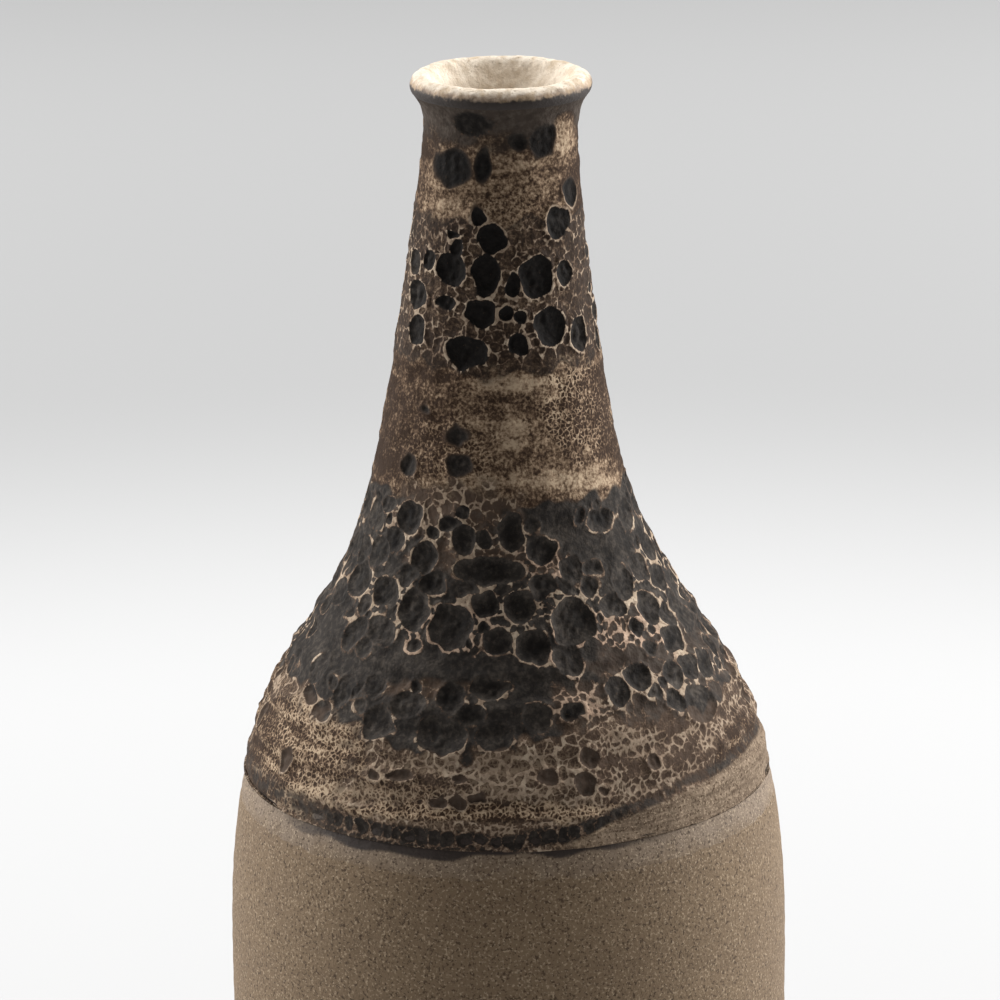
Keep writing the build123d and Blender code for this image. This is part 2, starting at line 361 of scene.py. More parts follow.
# Heights in mm at which the rows of craters on the shoulder and the neck end
SHOULDER_TOP = 187.3
NECK_TOP = 256.1
# Craters on the side that the photograph doesn't show. The main ones stand in the rows of the CAD part:
# share of the way up, radius, count, first turn, last turn. Between them stand random ones: count, lowest
# and highest place, smallest and largest radius
SHOULDER_ROWS = ((0.38, 4.2, 8, 100, 262), (0.58, 3.6, 7, 108, 266), (0.76, 3.8, 6, 101, 258))
NECK_ROWS = (
    (0.21, 3.4, 4, 112, 262), (0.42, 3.6, 4, 104, 250), (0.63, 3.6, 3, 122, 258), (0.82, 3.2, 3, 106, 246),
)
RANDOM_CRATERS = (
    (34, 158, 190, 1.6, 3.0), (22, 217, 243, 1.4, 2.6), (8, 252, 260, 1.6, 3.2), (12, 142, 154, 1.4, 2.4),
)
TRIES_PER_CRATER = 6
# Least and most that cells of each kind are stretched, and how strong the charcoal's craters are
ROW_STRETCH = (0.9, 1.1)
RANDOM_STRETCH = (0.82, 1.2)
CHARCOAL_STRETCH = (0.85, 1.15)
CELL_STRETCH = (0.8, 1.25)
CHARCOAL_STRENGTHS = (0.3, 0.7)


class CellField:
    """Distance in mm from each grid point to the edges of its two nearest cells, negative inside a cell."""

    def __init__(self, wall, points, ragged):
        self.radius = wall[:, 0]
        self.rows, self.columns = points.shape[:2]
        self.turn = 2 * pi / self.columns
        self.first = np.full((self.rows, self.columns), FIELD_REACH, np.float32)
        self.second = self.first.copy()
        self.size = np.full_like(self.first, 0.5)
        self.tone = np.full_like(self.first, 0.5)
        self.strength = np.ones_like(self.first)
        self.low_side = np.zeros_like(self.first)
        self.across = 0.26 * wave_noise(points, 5.0, 11) + ragged * wave_noise(points, 1.7, 12)
        self.along = 0.26 * wave_noise(points, 5.0, 13) + ragged * wave_noise(points, 1.7, 14)

    def add(self, row, column, half_across, half_along, tone, strength=1.0):
        """Puts one oval cell round a grid point. Its strength says how deep and sharp it is."""
        size = np.sqrt(half_across * half_along)
        reach = min(FIELD_REACH, 0.8 + size)
        span = int((half_along + reach + 0.6) / ROW_STEP)
        low, high = max(0, row - span), min(self.rows, row + span + 1)
        nearest = self.radius[low:high].min()
        wide = int((half_across + reach + 0.6) / (nearest * self.turn))
        wide = min(wide, self.columns // 2 - 1)
        offsets = np.arange(-wide, wide + 1)
        there = np.ix_(np.arange(low, high), (column + offsets) % self.columns)
        x = offsets * self.turn * self.radius[low:high, None]
        x = x + self.across[there] - self.across[row, column]
        y = (np.arange(low, high) - row)[:, None] * ROW_STEP
        y = y + self.along[there] - self.along[row, column]
        gap = (np.hypot(x / half_across, y / half_along) - 1) * size
        first, second = self.first[there], self.second[there]
        nearer = gap < first
        low_side = np.clip(-y / half_along, -1, 1)
        self.second[there] = np.where(nearer, first, np.minimum(second, gap))
        for field, value in ((self.first, gap), (self.size, size), (self.tone, tone),
                             (self.strength, strength), (self.low_side, low_side)):
            field[there] = np.where(nearer, value, field[there])

    def add_random(self, row, column, size, stretches, rng, strengths=None):
        """Puts a cell of a size round a grid point, with a random stretch and tone."""
        stretch = rng.uniform(*stretches)
        tone = rng.uniform(0, 1)
        strength = rng.uniform(*strengths) if strengths else 1.0
        self.add(row, column, size / stretch, size * stretch, tone, strength)


class Glaze:
    """The crater glaze's grid: where its points are, and how the photograph sees them."""

    def __init__(self):
        self.wall = along_outline(outer_wall("crater_glaze"), ROW_STEP)
        self.heights = self.wall[:, 1]
        turns = full_turn(GLAZE_COLUMNS)
        self.facing = np.cos(turns)
        self.degrees = np.degrees((turns + pi) % (2 * pi) - pi)
        x = self.wall[:, :1] * np.cos(turns + FRONT) + lean(self.heights)[:, None]
        y = self.wall[:, :1] * np.sin(turns + FRONT)
        z = np.broadcast_to(self.heights[:, None], x.shape)
        self.points = np.stack([x, y, z], -1).astype(np.float32)
        self.picture_x, self.picture_y = photo_pixels(self.points)
        self.coat = np.interp(self.heights, COAT_HEIGHTS, COAT_DEPTHS)
        self.ragged = 0.16 * wave_noise(self.points, 4.5, 22)

    def pixels_apart(self, first, second):
        """Distance in the photograph between two grid points."""
        return np.hypot(self.picture_x[first] - self.picture_x[second],
                        self.picture_y[first] - self.picture_y[second])

    def place(self, x, y, half_width, half_height):
        """Grid point under a pixel, and the half sizes of a patch of pixels there in mm."""
        away = np.hypot(self.picture_x - x, self.picture_y - y)
        away[:, self.facing < 0.08] = np.inf
        row, column = np.unravel_index(np.argmin(away), away.shape)
        beside = (column + 1) % GLAZE_COLUMNS
        above = min(row + 1, len(self.wall) - 1)
        wide = self.pixels_apart((row, beside), (row, column))
        tall = self.pixels_apart((above, column), (above - 1, column))
        arc = self.wall[row, 0] * 2 * pi / GLAZE_COLUMNS
        return row, column, half_width * arc / wide, half_height * ROW_STEP / tall

    def patches(self, seen, least=0):
        """Soft mask of patches in pixels of the photograph, on the side that it shows, over a least mask."""
        mask = np.zeros(self.picture_x.shape, np.float32)
        for x, y, half_width, half_height, strength in seen:
            away = np.hypot((self.picture_x - x) / half_width, (self.picture_y - y) / half_height)
            mask = np.maximum(mask, strength * (1 - smoothstep(away + self.ragged, 0.6, 1.3)))
        return np.maximum(mask * smoothstep(self.facing, 0.0, 0.1), least)

    def row_at(self, height):
        """Row of the grid at a height in mm."""
        return min(np.searchsorted(self.heights, height), len(self.wall) - 1)


class Zones:
    """Which kind of glaze lies where: masks, mostly from 0 to 1, and the noises that break them up."""

    def __init__(self, glaze):
        heights = glaze.heights[:, None]
        self.strands = wave_noise(glaze.points, 6.0, 35)
        self.flecks = smoothstep(wave_noise(glaze.points, 2.2, 38), -0.5, 0.7)
        self.blotches = wave_noise(glaze.points, 24.0, 31)
        self.streaks = wave_noise(glaze.points * (1, 1, 6), 26.0, 36)
        self.lines = wave_noise(glaze.points * (0.15, 0.15, 1), 2.0, 39)
        behind = 1 - smoothstep(glaze.facing, 0.0, 0.2)
        ragged = heights + 0.9 * self.strands
        floor = np.interp(glaze.degrees, CHARCOAL_TURNS, CHARCOAL_FLOORS)
        self.shoulder = inside_of(ragged, floor, CHARCOAL_TOP, 0.8)
        self.neck = inside_of(ragged, NECK_CELLS_LOW, NECK_CELLS_HIGH, 1.6)
        self.pale = glaze.patches(PALE_PATCHES, behind * 0.8 * smoothstep(self.streaks, 0.4, 1.4))
        self.collar = smoothstep(ragged, COLLAR_FROM, COLLAR_FULL) * (1 - self.pale)
        self.fine = glaze.patches(FINE_PATCHES, behind * smoothstep(self.blotches, 0.0, 0.8))
        self.cells = (1 - self.shoulder) * (1 - smoothstep(heights, *LOW_CELLS_END)) * (1 - self.fine)
        self.cells = np.maximum(self.cells, glaze.patches(CELL_PATCHES, 0.9 * self.neck))
        self.speckle = np.clip(1 - self.shoulder - self.neck - self.collar - self.cells, 0, 1)
        self.webs = glaze.patches(WEB_PATCHES, behind * smoothstep(self.blotches, -0.3, 0.6))
        self.webs = np.maximum(self.webs * self.shoulder, 1 - self.shoulder)
        self.pink = glaze.patches(PINK_PATCHES, behind * smoothstep(-self.strands, 0.5, 1.5))
        self.dim = glaze.patches(DIM_PATCHES, behind * 0.6 * smoothstep(-self.blotches, 0.0, 1.0))
        self.wide = glaze.patches(WIDE_CELL_PATCHES)
        self.net = glaze.patches(NET_PATCHES, 1 - smoothstep(heights, *LOW_NET_END))
        self.filled = glaze.patches(FILLED_PATCHES)
        self.plain = glaze.patches(PLAIN_PATCHES, self.filled)
        self.upper = smoothstep(heights, *UPPER_START)
        self.low = 1 - smoothstep(heights, *LOW_ZONE_END)
        self.soft = np.maximum(self.upper, inside_of(heights, *SOFT_RING, 2))
        self.edge_band(glaze)

    def edge_band(self, glaze):
        """The dark band along the lower edge, and the part of it that is a chain of cells."""
        middle = np.interp(glaze.degrees, BAND_TURNS, BAND_MIDDLES)
        half = np.interp(glaze.degrees, BAND_TURNS, BAND_HALVES)
        off = np.abs(glaze.heights[:, None] + 0.2 * wave_noise(glaze.points, 16.0, 25) - middle)
        chained = inside_of(glaze.degrees, CHAIN_FROM, CHAIN_TO, 8)
        soft = half * (0.9 - 0.6 * chained)
        broken = 0.6 * (1 - chained) * self.flecks
        self.band = (1 - smoothstep(off, half - soft, half + soft)) * (1 - broken)
        self.chain = self.band * chained
        under = smoothstep(middle - half - glaze.heights[:, None], -0.2, 0.5)
        self.thin = under * inside_of(glaze.degrees, THIN_FROM, THIN_TO, 9)


def row_craters(glaze, big, rows, low, high, rng):
    """The main craters of the side that the photograph doesn't show."""
    run = np.arange(len(glaze.wall)) * ROW_STEP
    start, end = np.interp((low, high), glaze.heights, run)
    for share, radius, count, first, last in rows:
        row = int((start + (end - start) * share) / ROW_STEP)
        for turn in np.linspace(first, last, count):
            column = int(turn / 360 * GLAZE_COLUMNS) % GLAZE_COLUMNS
            big.add_random(row, column, radius, ROW_STRETCH, rng)


def charcoal_craters(glaze, big, zones, rng):
    """Faint craters that fill the charcoal shoulder between the large ones, the widest first."""
    for size in np.linspace(CHARCOAL_WIDEST, CHARCOAL_NARROWEST, CHARCOAL_TRIES):
        row = glaze.row_at(rng.uniform(CHARCOAL_FLOORS[0], CHARCOAL_TOP - size))
        column = rng.integers(0, GLAZE_COLUMNS)
        free = zones.shoulder[row, column] > 0.7 and zones.plain[row, column] < 0.4
        if free and big.first[row, column] > 0.8 * size:
            big.add_random(row, column, size, CHARCOAL_STRETCH, rng, CHARCOAL_STRENGTHS)


def large_craters(glaze, zones, rng):
    """By the photograph in front, in rows and at random behind."""
    big = CellField(glaze.wall, glaze.points, 0.05)
    for spot in SEEN_CRATERS:
        row, column, half_across, half_along = glaze.place(*spot)
        strength = FAINT_STRENGTH if glaze.heights[row] < FAINT_BELOW else 1.0
        big.add(row, column, half_across, half_along, rng.uniform(0, 1), strength)
    row_craters(glaze, big, SHOULDER_ROWS, glaze.heights[0], SHOULDER_TOP, rng)
    row_craters(glaze, big, NECK_ROWS, SHOULDER_TOP, NECK_TOP, rng)
    behind = np.flatnonzero(glaze.facing < 0.2)
    for count, low, high, smallest, largest in RANDOM_CRATERS:
        for _ in range(count * TRIES_PER_CRATER):
            row = glaze.row_at(rng.uniform(low, high))
            column = rng.choice(behind)
            size = smallest + (largest - smallest) * rng.uniform(0, 1) ** 1.6
            if big.first[row, column] > 0.9 * size + 0.3:
                big.add_random(row, column, size, RANDOM_STRETCH, rng)
    charcoal_craters(glaze, big, zones, rng)
    return big


def chain_cells(glaze, small, rng):
    """The chain of cells in the dark band along the lower edge."""
    for k in range(CHAIN_CELLS):
        column = int((k + rng.uniform(-0.3, 0.3)) * GLAZE_COLUMNS / CHAIN_CELLS) % GLAZE_COLUMNS
        turn = glaze.degrees[column]
        if CHAIN_FROM < turn < CHAIN_TO:
            row = glaze.row_at(np.interp(turn, BAND_TURNS, BAND_MIDDLES) + rng.uniform(-0.3, 0.4))
            small.add(row, column, rng.uniform(0.9, 1.4), rng.uniform(1.0, 1.5), rng.uniform(0, 1))


def small_cells(glaze, big, zones, rng):
    """The chain along the lower edge, then ever smaller cells in the room that is left."""
    small = CellField(glaze.wall, glaze.points, 0.12)
    chain_cells(glaze, small, rng)
    usual = np.interp(glaze.heights, CELL_HEIGHTS, CELL_RADII)[:, None]
    usual = usual * np.exp(0.24 * wave_noise(glaze.points, 13.0, 21))
    usual = usual * (1 + zones.wide) * (1 - 0.4 * zones.filled)
    in_webs = 0.5 * zones.webs * zones.shoulder + 0.4 * zones.filled
    wanted = np.maximum(zones.cells, in_webs) * (1 - zones.band)
    spread = glaze.wall[:, 0] / glaze.wall[:, 0].sum()
    area = 2 * pi * glaze.wall[:, 0].sum() * ROW_STEP
    for radius in FILL_RADII:
        tries = int(area / radius**2 * 2.4)
        rows = rng.choice(len(spread), tries, p=spread)
        columns = rng.integers(0, GLAZE_COLUMNS, tries)
        here = usual[rows, columns]
        fitting = (radius < 1.5 * here) & (radius > 0.4 * here)
        fitting &= wanted[rows, columns] > rng.uniform(0.1, 0.9, tries)
        room = 0.85 * radius + 0.12
        for row, column in zip(rows[fitting], columns[fitting]):
            if min(small.first[row, column], big.first[row, column]) > room:
                small.add_random(row, column, radius, CELL_STRETCH, rng)
    return small


def pale_share(big, small, zones):
    """Where the pale veins lie, from 0 to 1: rims and webs of the large craters, and the small cells' net."""
    rim = 0.36 + 0.2 * big.low_side + 0.1 * zones.strands + 0.2 * zones.pale + 0.06 * zones.neck
    rims = 1 - smoothstep(big.first, rim - 0.16, rim + 0.2)
    fills = 1 - smoothstep(big.first + big.second, 1.5, 2.4)
    webby = smoothstep(zones.webs + 0.25 * zones.strands, 0.2, 0.7)
    webs = np.maximum(rims * (0.5 * big.strength + (1 - 0.5 * big.strength) * webby), fills * webby)
    webs = np.maximum(webs * (1 - 0.85 * zones.soft), zones.filled)
    half_vein = 0.2 + 0.06 * zones.strands + 0.12 * zones.pale - 0.05 * zones.dim
    half_vein = half_vein - 0.01 * zones.neck - 0.07 * zones.wide + zones.low * (0.02 + 0.06 * zones.lines)
    near = np.minimum((small.second - small.first) / 2, 0.35 - small.first)
    broken = 1 - zones.neck * (0.35 * smoothstep(zones.strands, -0.4, 0.6) + 0.4 * zones.flecks)
    net = (1 - smoothstep(near - half_vein, -0.2, 0.2)) * zones.cells * broken
    net = net * (1 - smoothstep(small.first, 0.45, 0.9))
    open_web = webs * smoothstep(small.first, -0.05, 0.2)
    outside = smoothstep(big.first, -0.12, 0.08)
    share = np.maximum(open_web, net * np.maximum(1 - zones.shoulder, zones.webs)) * outside
    chain = (1 - smoothstep(near - 0.1, -0.12, 0.12)) * 0.5
    return share * (1 - zones.band) + chain * zones.chain


def rim_ridge(big):
    """1 on the ridge round each large crater, falling off on both sides."""
    return np.exp(-(((big.first - RIDGE_PLACE) / RIDGE_WIDTH) ** 2))


def throwing_rings(glaze):
    """Ridges in mm that throwing left on the low part: broad ones with finer ones between."""
    heights = glaze.heights[:, None]
    wander = 0.8 * wave_noise(glaze.points, 60.0, 33)
    rings = 0.27 * np.cos(2 * pi * heights / 6.8 + wander)
    rings = rings + 0.09 * np.cos(2 * pi * heights / 2.9 + 2 * wander)
    return rings * (1 - smoothstep(heights, *RINGS_END))


def crater_lift(glaze, big, small, zones):
    """Relief of the glaze's face in mm: dishes, rims, throwing rings and a feathered edge."""
    depth = np.minimum(0.27 * big.size, 0.98) * (1 - 0.6 * zones.upper) * (0.25 + 0.75 * big.strength)
    inward = np.clip(-big.first / big.size, 0, 1)
    dome = 0.45 * smoothstep(inward, 0.45, 0.9) * smoothstep(big.tone, 0.2, 0.6)
    lumps = 0.07 * smoothstep(inward, 0.1, 0.5) * wave_noise(glaze.points, 2.2, 40)
    dish = depth * (1 - (1 - inward) ** 2 - dome) + lumps
    rim = 0.26 * rim_ridge(big) * (0.5 + 0.5 * zones.webs) * (1 - 0.8 * zones.upper)
    dimple = 0.09 * small.size * np.clip(-small.first / small.size, 0, 1) * (zones.cells + zones.chain)
    low_end = np.arange(len(glaze.wall))[:, None] * ROW_STEP
    feather = 0.35 * (1 - smoothstep(low_end, 0, 1.6))
    lift = rim - dish - dimple + throwing_rings(glaze) - feather - 0.08 * zones.band
    lift = lift + 0.07 * wave_noise(glaze.points, 8.0, 34) + 0.03 * wave_noise(glaze.points, 3.0, 37)
    lift = lift * smoothstep(low_end[-1] - low_end, 0.2, 3)
    return np.maximum(lift, LEAST_COAT - glaze.coat[:, None])


def crater_values(glaze, big, small, zones):
    """Values that colour the glaze at every grid point, mostly from 0 to 1."""
    inside = smoothstep(-big.first, -0.15 - 0.6 * zones.soft, 0.1 + 0.9 * zones.soft)
    pale = pale_share(big, small, zones)
    flecked = 0.5 * zones.neck + 0.3 * zones.low * zones.cells * (1 - zones.shoulder)
    speckle = np.maximum(zones.speckle, flecked * (1 - pale))
    speckle = speckle * (1 - inside) * smoothstep(big.first, 0.0, 0.5) * (1 - zones.band)
    # beside is 1 at the sides as seen from the front: there the speckled coat is darker by painted shade
    beside = smoothstep(1 - np.abs(glaze.facing)[None, :], 0.2, 0.9)
    level = 0.5 - 0.26 * zones.net + 0.24 * zones.pale - 0.24 * zones.dim - 0.22 * beside
    level = level + 0.05 * zones.streaks + (0.03 + 0.08 * zones.low) * zones.lines - 0.24 * zones.neck
    # Crater floors darker: partly glaze pooled in the dish, partly painted shade in the dish
    pooled_and_painted_shade = smoothstep(-big.first / big.size, 0.1, 0.6)
    tone = 0.36 + 0.1 * zones.strands + 0.12 * big.tone * inside
    # Rims lighter: partly the rims' own paler glaze, partly a painted highlight; floors darker by pooling and
    # painted shade
    tone = tone + (0.16 * rim_ridge(big) - 0.2 * pooled_and_painted_shade) * (0.3 + 0.7 * big.strength)
    below = inside * zones.low * (1 - zones.shoulder)
    tone = tone * zones.shoulder + 0.4 * (zones.band - zones.chain) + 0.2 * zones.chain
    # Its last term is a painted sheen: the neck lighter at its sides
    tone = tone + 0.55 * zones.collar * (1 - 0.8 * inside) + 0.25 * below + 0.45 * beside * zones.neck
    tone = tone + 0.25 * inside * zones.soft * (1 - zones.upper)
    warm = 0.9 * zones.cells * (1 - 0.6 * zones.neck) * (1 - 0.6 * zones.wide * zones.shoulder)
    warm = np.maximum(np.maximum(warm, 0.4 * zones.collar), 0.7 * zones.speckle) * (1 - inside)
    warm = np.maximum(warm, 0.7 * below) * (1 - 0.5 * zones.band - 0.3 * zones.chain)
    dim = np.maximum(zones.dim, 0.5 * zones.low)
    return {"pale": pale, "speckle": speckle, "level": level, "tone": tone, "warm": warm,
            "pink": zones.pink, "dim": dim, "thin": zones.thin, "net": 0.42 * zones.net}


def crater_mesh():
    """The crater glaze as one closed dense mesh, with its pattern as named values at the corners."""
    rng = np.random.default_rng(GLAZE_SEED)
    glaze = Glaze()
    zones = Zones(glaze)
    big = large_craters(glaze, zones, rng)
    small = small_cells(glaze, big, zones, rng)
    normals = outline_normals(glaze.wall, False)
    back_rows = np.linspace(len(glaze.wall) - 1, 0, BACK_ROWS).astype(int)
    back = glaze.wall[back_rows] - normals[back_rows] * glaze.coat[back_rows, None]
    outline = np.vstack([glaze.wall, back])
    bare = np.zeros((len(back), GLAZE_COLUMNS))
    lift = np.vstack([crater_lift(glaze, big, small, zones), bare])
    shares = bake_shares((BAKE_START, 0.95, len(glaze.wall)), (0.955, BAKE_LAST, len(back)))
    mesh = turned_mesh("crater_glaze", outline, GLAZE_COLUMNS, lift, shares)
    for name, values in crater_values(glaze, big, small, zones).items():
        float_attribute(mesh, name, np.vstack([values, bare]))
    return mesh


# Columns of the turned meshes
BODY_COLUMNS = 720
LIP_COLUMNS = 480
# The body in mm: step along its wall, foot, floor, the gap on the axis, and how far it is sunk under the wash
BODY_STEP = 0.6
FOOT_RING_INSIDE = 38.5
FOOT_RECESS = 2.5
FLOOR_TOP = 9.5
FLOOR_RADIUS = 28
FLOOR_CURVE = 12
BODY_WALL = 5.2
AXIS_GAP = 0.05
BODY_SINK = 0.25
BODY_SINK_HEIGHTS = (125.5, 129)
# The wash in mm: step along its wall, thickness, how far it is sunk under the glaze and at its thin edge, and
# the heights over which its painted shade, just under the glaze's lower edge, and its cover come in
WASH_STEP = 0.5
WASH_COAT = 0.28
WASH_SINK = 0.5
WASH_SINK_HEIGHTS = (133, 136)
WASH_FEATHER = 5
PAINTED_EDGE_SHADE_HEIGHTS = (129.3, 130.2)
COVER_HEIGHTS = (124.5, 129.5)
# Turns from the front in degrees over which the painted shade under the glaze's lower edge begins and ends
PAINTED_EDGE_SHADE_START = (-75, -30)
PAINTED_EDGE_SHADE_END = (15, 45)
# Rolled lip, in mm and degrees, and the points along its roll and along its funnel
LIP_POINTS = 60
LIP_ROLL = 2.2
LIP_COAT = 0.5
LIP_UNDERSIDE = -55
LIP_INSIDE = 150
LIP_HANDLE = 4.5
THROAT_RADIUS = 8.9
# How far the clay under the lip is sunk, and the height over which this comes in, in mm
LIP_SINK = 0.4
LIP_SINK_RISE = 10


def grid_points(outline, columns):
    """Points of a turned outline in mm, before any lift."""
    angles = FRONT + full_turn(columns)
    x = outline[:, :1] * np.cos(angles)
    y = outline[:, :1] * np.sin(angles)
    return np.stack([x, y, np.broadcast_to(outline[:, 1:], x.shape)], -1).astype(np.float32)


def body_mesh():
    """The bare clay body, with the ripples and grit of a thrown wall, on its foot ring."""
    wall = along_outline(outer_wall("lower_body"), BODY_STEP)
    under = np.array([(AXIS_GAP, FOOT_RECESS), (20, FOOT_RECESS), (FOOT_RING_INSIDE - 2, FOOT_RECESS),
                      (FOOT_RING_INSIDE, 0.4), (FOOT_RING_INSIDE + 0.6, 0), (wall[0, 0] - 0.3, 0)])
    inner = wall[::-4][:-6] - (BODY_WALL, 0)
    inner = inner[inner[:, 1] > FLOOR_TOP + FLOOR_CURVE]
    rim = np.array([(wall[-1, 0] - 0.1, wall[-1, 1]), (inner[0, 0], wall[-1, 1])])
    floor = np.array([(FLOOR_RADIUS, FLOOR_TOP), (AXIS_GAP, FLOOR_TOP)])
    outline = np.vstack([under, wall, rim, inner, floor])
    points = grid_points(outline, BODY_COLUMNS)
    heights = points[..., 2]
    lift = 0.02 * wave_noise(points * (1, 1, 2.6), 11.0, 41) + 0.012 * wave_noise(points, 3.0, 42)
    lift += 0.025 * np.cos(2 * pi * heights / 5.4 + 1.2 * wave_noise(points, 70.0, 43))
    lift -= BODY_SINK * smoothstep(heights, *BODY_SINK_HEIGHTS)
    lift *= smoothstep(heights, 0.5, 6)
    shown = np.zeros(len(outline))
    shown[len(under):len(under) + len(wall)] = 1
    hidden = len(outline) - len(under) - len(wall)
    shares = bake_shares((BAKE_START, 0.12, len(under)), (0.13, 0.95, len(wall)), (0.955, BAKE_LAST, hidden))
    return turned_mesh("lower_body", outline, BODY_COLUMNS, lift * shown[:, None], shares)


def wash_mesh():
    """The thin first coat, whose lower edge shows as an uneven band on the body."""
    wall = along_outline(outer_wall("base_glaze"), WASH_STEP)
    normals = outline_normals(wall, False)
    sunk = WASH_SINK * smoothstep(wall[:, 1], *WASH_SINK_HEIGHTS)
    feather = WASH_SINK * (1 - smoothstep(wall[:, 1] - wall[0, 1], 0, WASH_FEATHER))
    deep = (sunk + feather)[:, None]
    front = wall - normals * deep
    back = (wall - normals * (deep + WASH_COAT))[::-5]
    outline = np.vstack([front, back])
    points = grid_points(outline, BODY_COLUMNS)
    lift = 0.02 * wave_noise(points, 4.0, 51)
    lift[len(front):] = 0
    shares = bake_shares((BAKE_START, 0.9, len(wall)), (0.91, BAKE_LAST, len(back)))
    mesh = turned_mesh("base_glaze", outline, BODY_COLUMNS, lift, shares)
    heights = points[..., 2] + 0.5 * wave_noise(points, 14.0, 52)
    turns = np.degrees(np.arctan2(points[..., 0], -points[..., 1]))
    in_front = smoothstep(turns, *PAINTED_EDGE_SHADE_START) * (1 - smoothstep(turns, *PAINTED_EDGE_SHADE_END))
    # Painted shade: a dark line on the wash in front, just under the crater glaze's lower edge
    float_attribute(mesh, "painted_edge_shade", in_front * smoothstep(heights, *PAINTED_EDGE_SHADE_HEIGHTS))
    float_attribute(mesh, "cover", smoothstep(heights + 0.8 * wave_noise(points, 6.0, 53), *COVER_HEIGHTS))
    return mesh


def lip_outline(depth):
    """From under the rolled lip, over it and down the funnel to the throat, at a depth under the face."""
    low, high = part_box("lip_glaze")
    centre = np.array([high.x / MM, high.z / MM]) - LIP_ROLL
    turn = np.radians(np.linspace(LIP_UNDERSIDE, LIP_INSIDE, LIP_POINTS))
    over = centre + (LIP_ROLL - depth) * np.column_stack([np.cos(turn), np.sin(turn)])
    way = np.array([cos(radians(LIP_INSIDE + 90)), sin(radians(LIP_INSIDE + 90))])
    start, end = over[-1], np.array([THROAT_RADIUS + depth, low.z / MM])
    t = np.linspace(0, 1, LIP_POINTS)[1:, None]
    bend_1, bend_2 = start + way * LIP_HANDLE, end + (0, LIP_HANDLE)
    funnel = (1 - t)**3 * start + 3 * (1 - t)**2 * t * bend_1 + 3 * (1 - t) * t**2 * bend_2 + t**3 * end
    return np.vstack([over, funnel])


def lip_mesh():
    """The cream rim, a little uneven as hands leave it."""
    outside = lip_outline(0)
    inside = lip_outline(LIP_COAT)[::-3]
    outline = np.vstack([outside, inside])
    points = grid_points(outline, LIP_COLUMNS)
    place = np.concatenate([np.linspace(0, 1, len(outside)), np.full(len(inside), 0.5)])
    lift = 0.08 * wave_noise(points, 12.0, 61) + 0.04 * wave_noise(points, 3.0, 62)
    lift *= smoothstep(place, 0.06, 0.25)[:, None]
    lift[len(outside):] = 0
    shares = bake_shares((BAKE_START, 0.9, len(outside)), (0.91, BAKE_LAST, len(inside)))
    mesh = turned_mesh("lip_glaze", outline, LIP_COLUMNS, lift, shares)
    float_attribute(mesh, "place", np.broadcast_to(place[:, None], (len(outline), LIP_COLUMNS)))
    return mesh


def leaning_copy(node):
    """A hidden CAD node's mesh, set to the side like the glaze over it."""
    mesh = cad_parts[node].data.copy()
    mesh.materials.clear()
    points = node_points(node)
    points[:, 0] += lean(points[:, 2])
    points[:, 2] -= LIP_SINK * smoothstep(points[:, 2], NECK_TOP, NECK_TOP + LIP_SINK_RISE)
    mesh.vertices.foreach_set("co", (points * MM).astype(np.float32).ravel())
    mesh.update()
    return mesh


def colour(red, green, blue):
    """A colour as seen on screen, 0 to 255, as the linear values that shaders use."""
    shown = np.array([red, green, blue]) / 255
    linear = np.where(shown <= 0.04045, shown / 12.92, ((shown + 0.055) / 1.055) ** 2.4)
    return (*linear, 1)


